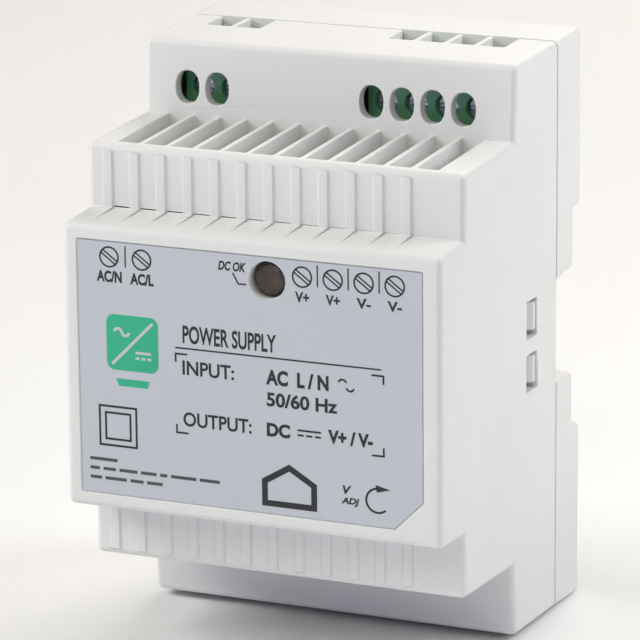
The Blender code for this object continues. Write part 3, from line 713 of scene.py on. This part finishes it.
def make_windings():
    """The wire of the filter choke and the output choke, and the tape around the transformer."""
    for letter in ("a", "b"):
        x, depth, height = node_span(f"filter_choke_winding_{letter}")
        wound(
            f"filter_choke_turns_{letter}",
            f"filter_choke_winding_{letter}",
            (sum(x) / 2, sum(height) / 2),
            ((x[1] - x[0]) / 2, (height[1] - height[0]) / 2),
            1.6,
            depth,
            12,
            (1.8, 2.8),
        )
    x, depth, height = node_span("output_choke")
    wound(
        "output_choke_turns",
        None,
        (sum(x) / 2, sum(height) / 2),
        (4.75, 4.75),
        4.7,
        (depth[0] + 1.6, depth[1] - 1.6),
        16,
        (4.3, 4.3),
    )
    x, depth, height = node_span("transformer_winding")
    wound(
        "transformer_tape",
        "transformer_winding",
        (sum(x) / 2, sum(height) / 2),
        ((x[1] - x[0]) / 2, (height[1] - height[0]) / 2),
        2.2,
        depth,
        3,
        (4.5, 5.4),
        slot="winding_tape",
    )


def make_chip_legs(name, node, count):
    """Gull-wing legs down both long edges of a flat package."""
    x, depth, height = node_span(node)
    bm = bmesh.new()
    pitch = (x[1] - x[0]) / count
    for i in range(count):
        middle = x[0] + pitch * (i + 0.5)
        for edge, way in ((height[0], -1), (height[1], 1)):
            path = [
                at(middle, depth[0] + 1.2, edge - way * 0.1),
                at(middle, depth[0] + 1.25, edge + way * 0.4),
                at(middle, depth[1] - 0.3, edge + way * 0.7),
                at(middle, depth[1] - 0.12, edge + way * 1.3),
            ]
            tube(bm, path, 0.17, 6)
    legs = mesh_piece(name, bm)
    legs.data.shade_smooth()
    finish_piece(legs, slot_of(node), "case", material="tinned_brass")


def make_can_tops():
    """The scored aluminium top of each electrolytic can, with painted shade in its three score grooves,
    and the minus stripe down its sleeve.
    """
    for node in ("input_capacitor", "output_capacitor_1", "output_capacitor_2"):
        x, depth, height = node_span(node)
        centre = (sum(x) / 2, sum(height) / 2)
        radius = (x[1] - x[0]) / 2
        top = depth[0]
        bm = bmesh.new()
        disc = [(0, -0.02), (radius - 1.0, -0.02), (radius - 0.9, 0.02), (radius - 0.9, 0.3), (0, 0.3)]
        lathed(bm, disc, (centre[0], top, centre[1]), steps=48)
        lid = mesh_piece(f"{node}_lid", bm)
        lid.data.shade_smooth()
        lid.data.set_sharp_from_angle(angle=math.radians(30))
        finish_piece(lid, slot_of(node), "case", material="aluminium")
        # Painted shade: each score groove is a thin black block standing proud of the lid, in place of
        # the shade inside the groove
        bm = bmesh.new()
        for turn in (0, 60, 120):
            along = Vector((math.cos(math.radians(turn)), 0, math.sin(math.radians(turn))))
            across = Vector((-along.z, 0, along.x)) * 0.12
            reach = along * (radius - 2.2)
            corners = []
            for depth_at in (top - 0.06, top + 0.1):
                for a, b in ((-1, -1), (1, -1), (1, 1), (-1, 1)):
                    offset = reach * a + across * b
                    corners.append(at(centre[0] + offset.x, depth_at, centre[1] + offset.z))
            add_block(bm, corners)
        painted_score_shade = mesh_piece(f"{node}_score", bm)
        finish_piece(painted_score_shade, slot_of(node), "case", material="black_print_and_painted_shade")
        bm = bmesh.new()
        rings = []
        for depth_at in (top + 1.6, depth[1] - 3.0):
            for lift in (-0.05, 0.03):
                ring = []
                for turn in range(60, 121, 6):
                    x_at = centre[0] + (radius + lift) * math.cos(math.radians(turn))
                    height_at = centre[1] + (radius + lift) * math.sin(math.radians(turn))
                    ring.append(bm.verts.new(at(x_at, depth_at, height_at)))
                rings.append(ring)
        inner_top, outer_top, inner_low, outer_low = rings
        for i in range(len(inner_top) - 1):
            bm.faces.new((outer_top[i], outer_top[i + 1], outer_low[i + 1], outer_low[i]))
            bm.faces.new((inner_top[i], inner_low[i], inner_low[i + 1], inner_top[i + 1]))
            bm.faces.new((inner_top[i], inner_top[i + 1], outer_top[i + 1], outer_top[i]))
            bm.faces.new((inner_low[i], outer_low[i], outer_low[i + 1], inner_low[i + 1]))
        for i in (0, -1):
            bm.faces.new((inner_top[i], outer_top[i], outer_low[i], inner_low[i]))
        stripe = mesh_piece(f"{node}_stripe", bm)
        finish_piece(stripe, slot_of(node), "case", material="white_ink")


# Label

# Each row of terminal signs: the first one's place across, the pitch, the signs' height, the foot, top
# and weight of the names, and each name with half its width
TERMINAL_ROWS = (
    (-22.9, 5.4, 17.3, (13.5, 15.1), 0.08, (("AC/N", 2.0), ("AC/L", 1.85))),
    (8.6, 4.9, 17.2, (13.4, 14.85), 0.07, (("V+", 1.05), ("V+", 1.05), ("V-", 1.05), ("V-", 1.05))),
)
DIVIDER = 0.22
LINE = 0.3
# Left edges of the two columns of print, and the height of each line's foot
NAME_COLUMN = -11.0
VALUE_COLUMN = 2.75
INPUT_LINE = 0.4
FREQUENCY_LINE = -2.95
OUTPUT_LINE = -7.55
CAPITALS = 2.1


class Art:
    """Flat printed shapes on the label, gathered in one mesh with the label's own x and height."""

    def __init__(self):
        self.bm = bmesh.new()

    def polygon(self, points):
        self.bm.faces.new([self.bm.verts.new((x, height, 0)) for x, height in points])

    def bar(self, x_low, x_high, low, high):
        self.polygon([(x_low, low), (x_high, low), (x_high, high), (x_low, high)])

    def stroke(self, points, width, closed=False):
        """A line of one width along points, with mitred corners."""
        count = len(points)
        path = [Vector(point) for point in points]
        sides = []
        for i, point in enumerate(path):
            before = path[i - 1] if i or closed else None
            after = path[(i + 1) % count] if i < count - 1 or closed else None
            arrive = (point - before).normalized() if before is not None else None
            leave = (after - point).normalized() if after is not None else None
            along = ((arrive or leave) + (leave or arrive)).normalized()
            across = Vector((-along.y, along.x))
            reach = width / 2 / max(0.3, along.dot(arrive or leave))
            sides.append((point + across * reach, point - across * reach))
        verts = [[self.bm.verts.new((*side, 0)) for side in pair] for pair in sides]
        for i in range(count if closed else count - 1):
            near, far = verts[i], verts[(i + 1) % count]
            self.bm.faces.new([near[0], near[1], far[1], far[0]])

    def arc(self, centre, radius, width, start=0.0, end=360.0, steps=40):
        whole = end - start == 360.0
        points = []
        for step in range(steps if whole else steps + 1):
            angle = math.radians(start + (end - start) * step / steps)
            points.append((centre[0] + radius * math.cos(angle), centre[1] + radius * math.sin(angle)))
        self.stroke(points, width, closed=whole)

    def text(self, body, x, height, weight=0.0, slant=0.0):
        """Lettering drawn out to fill a range of x and of height; weight fattens it, in millimetres."""
        font = bpy.data.curves.new("lettering", "FONT")
        font.body = body
        font.shear = slant
        font.size = 10.0
        font.resolution_u = 6
        obj = new_object("lettering", font)
        bpy.context.view_layer.update()
        box = [Vector(corner) for corner in obj.bound_box]
        low = Vector((min(p.x for p in box), min(p.y for p in box)))
        span = Vector((max(p.x for p in box), max(p.y for p in box))) - low
        scale = ((x[1] - x[0]) / span.x, (height[1] - height[0]) / span.y)
        font.offset = weight / (sum(scale) / 2)
        bpy.context.view_layer.update()
        graph = bpy.context.evaluated_depsgraph_get()
        mesh = obj.evaluated_get(graph).to_mesh()
        verts = []
        for vert in mesh.vertices:
            across = x[0] + (vert.co.x - low.x) * scale[0]
            up = height[0] + (vert.co.y - low.y) * scale[1]
            verts.append(self.bm.verts.new((across, up, 0)))
        for face in mesh.polygons:
            self.bm.faces.new([verts[i] for i in face.vertices])
        obj.to_mesh_clear()
        bpy.data.objects.remove(obj, do_unlink=True)

    def printed(self, name, material):
        """Turns the flat shapes into a thin closed film of ink on the label's face."""
        bm = self.bm
        bmesh.ops.remove_doubles(bm, verts=bm.verts, dist=1e-4)
        for face in bm.faces:
            if face.normal.z < 0:
                face.normal_flip()
        turn = Matrix(((1, 0, 0, 0), (0, 0, -1, 0), (0, 1, 0, 0), (0, 0, 0, 1)))
        start = Matrix.Translation(at(0, LABEL_FACE + INK / 4, 0))
        bm.transform(start @ turn @ Matrix.Scale(MM, 4))
        solid = bmesh.ops.extrude_face_region(bm, geom=list(bm.faces))
        raised = [part for part in solid["geom"] if isinstance(part, bmesh.types.BMVert)]
        bmesh.ops.translate(bm, verts=raised, vec=(0, -INK * MM, 0))
        obj = mesh_piece(name, bm)
        finish_piece(obj, "label_film", "case", material=material)
        return obj


def terminal_mark(art, x, height):
    """A round screw head with its slanted slot."""
    radius = 1.5
    art.arc((x, height), radius, 0.27)
    along = Vector((math.cos(math.radians(-36)), math.sin(math.radians(-36))))
    across = Vector((-along.y, along.x)) * 0.27
    reach = along * radius * 0.97
    middle = Vector((x, height))
    for side in (-1, 1):
        line = middle + across * side
        art.stroke([line - reach, line + reach], 0.24)


def word_bars(art, x, height, lengths):
    """A line of small print, kept unreadable: one bar for each word."""
    thick = 0.5
    for length in lengths:
        art.bar(x, x + length, height - thick / 2, height + thick / 2)
        x += length + 0.6


def make_label_art():
    """The black print: terminal signs and names, two columns of words and the symbols under them."""
    art = Art()
    for first, pitch, height, letters, weight, names in TERMINAL_ROWS:
        for number, (name, half) in enumerate(names):
            x = first + pitch * number
            terminal_mark(art, x, height)
            art.text(name, (x - half, x + half), letters, weight)
            if number:
                middle = x - pitch / 2
                art.bar(middle - DIVIDER / 2, middle + DIVIDER / 2, 15.9, 19.2)
    art.text("DC OK", (-4.9, -0.55), (17.1, 18.4), 0.06, 0.25)
    art.stroke([(-2.6, 16.8), (-1.7, 15.2), (-0.4, 15.2)], 0.25)

    art.text("POWER SUPPLY", (-10.9, 4.2), (5.3, 7.9), 0.07)
    art.bar(-12.2, 21.1, 4.3, 4.55)
    corner = 1.9
    for x, right in ((-12.15, 1), (21.45, -1)):
        for height, up in ((3.5, -1), (-8.7, 1)):
            art.stroke([(x + right * corner, height), (x, height), (x, height + up * 1.3)], LINE)
    art.text("INPUT:", (NAME_COLUMN, -2.65), (INPUT_LINE, INPUT_LINE + CAPITALS), 0.06)
    art.text("OUTPUT:", (NAME_COLUMN, 0.1), (OUTPUT_LINE, OUTPUT_LINE + CAPITALS), 0.06)
    art.text("AC  L / N", (VALUE_COLUMN, 12.6), (INPUT_LINE, INPUT_LINE + CAPITALS), 0.12)
    art.arc((14.9, 1.7), 0.62, LINE, 15, 165, 14)
    art.arc((16.15, 1.25), 0.62, LINE, 195, 345, 14)
    art.text("50/60 Hz", (VALUE_COLUMN, 13.9), (FREQUENCY_LINE, FREQUENCY_LINE + 2.0), 0.09)
    art.text("DC", (VALUE_COLUMN, 6.3), (OUTPUT_LINE, OUTPUT_LINE + 1.9), 0.12)
    art.bar(7.6, 11.4, -6.35, -6.35 + LINE)
    for step in range(3):
        art.bar(7.6 + 1.4 * step, 8.6 + 1.4 * step, -7.1, -7.1 + LINE)
    art.text("V+ / V-", (12.7, 19.6), (OUTPUT_LINE, OUTPUT_LINE + 1.9), 0.12)

    x, height = (-21.95, -8.9)
    for reach in (3.05, 2.05):
        ring = [(x - reach, height - reach), (x + reach, height - reach)]
        ring += [(x + reach, height + reach), (x - reach, height + reach)]
        art.stroke(ring, 0.34, closed=True)

    notes = Art()
    word_bars(notes, -26.8, -14.3, (4.6,))
    word_bars(notes, -26.8, -15.75, (1.6, 2.1, 3.0, 2.6, 1.2, 4.2, 3.3))
    word_bars(notes, -26.8, -17.2, (1.9, 3.6, 2.2, 2.6))
    notes.printed("label_notes", "grey_ink")

    house = [(2.2, -18.0), (2.2, -14.6), (6.2, -12.2), (10.2, -14.6), (10.2, -18.0)]
    art.stroke(house, 0.95, closed=True)
    art.text("V", (14.9, 16.1), (-15.1, -13.9), 0.07, 0.2)
    art.text("ADJ", (14.7, 17.4), (-16.9, -15.7), 0.06, 0.2)
    art.arc((20.45, -15.6), 1.85, 0.33, 95, 312, 30)
    art.polygon([(20.1, -13.2), (22.5, -13.75), (20.3, -14.35)])
    art.printed("label_print", "black_print_and_painted_shade")


def make_label_emblem():
    """A green tile with the general sign for a mains to direct current converter, left open in it."""
    half = 4.3
    centre = (-19.3, 4.25)
    corner = 1.3
    outline = []
    for quarter, (x, height) in enumerate(((1, 1), (-1, 1), (-1, -1), (1, -1))):
        for step in range(7):
            angle = math.radians(90 * quarter + 15 * step)
            outline.append(
                (
                    centre[0] + x * (half - corner) + corner * math.cos(angle),
                    centre[1] + height * (half - corner) + corner * math.sin(angle),
                )
            )
    tile = Art()
    tile.polygon(outline)
    tile.polygon([(-22.1, -1.35), (-16.5, -1.35), (-16.9, -2.5), (-21.7, -2.5)])
    tile.printed("label_emblem", "green_ink")
    sign = Art()
    x, height = centre
    sign.stroke([(x - 3.4, height - 3.4), (x + 3.4, height + 3.4)], 0.45)
    sign.arc((x - 2.35, height + 1.55), 0.62, 0.42, 10, 170, 14)
    sign.arc((x - 1.12, height + 1.75), 0.62, 0.42, 190, 350, 14)
    sign.bar(x + 0.5, x + 3.1, height - 1.55, height - 1.15)
    for step in range(3):
        left = x + 0.5 + 0.98 * step
        sign.bar(left, left + 0.64, height - 2.4, height - 2.0)
    raised = sign.printed("label_emblem_sign", "label_film")
    raised.data.transform(Matrix.Translation((0, -INK * MM * 0.5, 0)))


# Scene


def make_camera():
    """The camera looks down on the right front corner through a long lens, 0.67 m away."""
    azimuth = math.radians(24.08)
    elevation = math.radians(14.93)
    roll = math.radians(-0.54)
    distance = 0.6718
    aside = -0.0018
    above = 0.00238
    back = Vector(
        (
            math.sin(azimuth) * math.cos(elevation),
            -math.cos(azimuth) * math.cos(elevation),
            math.sin(elevation),
        )
    )
    right = Vector((0, 0, 1)).cross(back).normalized()
    up = back.cross(right)
    turned_right = right * math.cos(roll) + up * math.sin(roll)
    turned_up = up * math.cos(roll) - right * math.sin(roll)
    aim = at(0, 30.0, 0)
    data = bpy.data.cameras.new("camera")
    data.sensor_width = 36.0
    data.lens = 245.64
    data.clip_start = 0.01
    data.clip_end = 20.0
    camera = new_object("camera", data)
    axes = Matrix((turned_right, turned_up, back)).transposed().to_4x4()
    place = aim + back * distance + turned_right * aside + turned_up * above
    camera.matrix_world = Matrix.Translation(place) @ axes
    bpy.context.scene.camera = camera


def area_light(name, place, aim, size, power, colour):
    data = bpy.data.lights.new(name, "AREA")
    data.shape = "RECTANGLE"
    data.size, data.size_y = size
    data.energy = power
    data.color = colour
    light = new_object(name, data)
    light.location = place
    light.rotation_mode = "QUATERNION"
    light.rotation_quaternion = (Vector(place) - Vector(aim)).to_track_quat("Z", "Y")


def make_studio():
    """A pale round floor and soft lamps around it; sizes and places are in metres."""
    radius = 4.0
    bm = bmesh.new()
    bmesh.ops.create_circle(bm, cap_ends=True, segments=96, radius=radius)
    bmesh.ops.translate(bm, verts=bm.verts, vec=(0, 0, cad_bounds[0].z))
    floor = mesh_piece("floor", bm)
    floor.data.materials.append(materials["floor"])
    world = bpy.data.worlds.new("studio")
    bpy.context.scene.world = world
    world.use_nodes = True
    sky = world.node_tree.nodes["Background"]
    sky.inputs["Color"].default_value = (0.97, 0.985, 1.0, 1.0)
    sky.inputs["Strength"].default_value = 0.04
    middle = (0, 0, 0.045)
    backdrop = (-0.15, 0.70, 0.0)
    area_light("over_back", (0.0, 0.45, 0.75), middle, (0.7, 0.4), 0.9, (1.0, 0.80, 0.62))
    area_light("back_floor", (-0.10, 0.75, 0.60), backdrop, (0.9, 0.4), 4.2, (1.0, 0.96, 0.92))
    area_light("right_near", (0.24, 0.10, 0.22), middle, (0.16, 0.16), 0.52, (0.93, 0.98, 1.0))
    area_light("right_high", (0.65, -0.20, 0.60), middle, (0.5, 0.5), 0.7, (0.98, 0.97, 1.0))
    area_light("left_high", (-0.65, -0.30, 0.60), middle, (0.5, 0.5), 5.7, (1.0, 1.0, 0.98))
    area_light("front_high", (0.0, -0.75, 0.60), middle, (0.7, 0.4), 2.2, (1.0, 0.99, 0.86))
    area_light("front_low", (-0.1, -0.90, 0.10), middle, (0.7, 0.3), 1.2, (0.55, 0.60, 1.0))
    bpy.context.scene.view_settings.view_transform = "Standard"


materials = make_materials()
make_camera()
make_studio()

for case_node, edge in (("front_cover", 0.18), ("rear_housing", 0.12), ("din_latch", 0.15)):
    refined(case_node, edge)
make_rib_tails()
refined("front_label", 0.03, 1)
make_label_art()
make_label_emblem()
for block_node in ("terminal_block_ac", "terminal_block_dc"):
    refined(block_node, 0.10)
for pole in range(1, POLES + 1):
    refined(f"terminal_screw_{pole}", 0.07)
    refined(f"clamp_{pole}", 0.12)
    refined(f"contact_{pole}", 0.08)
make_lamp()
make_latch_coil()
make_windings()
make_can_tops()
for hard_node, edge in HARD_NODES.items():
    refined(hard_node, edge)
make_chip_legs("controller_chip_legs", "controller_chip", 8)
make_chip_legs("optocoupler_legs", "optocoupler", 3)

for name, node in frame["nodes"].items():
    if not node.hide_render:
        node.data.materials.clear()
        node.data.materials.append(materials[slot_of(name)])
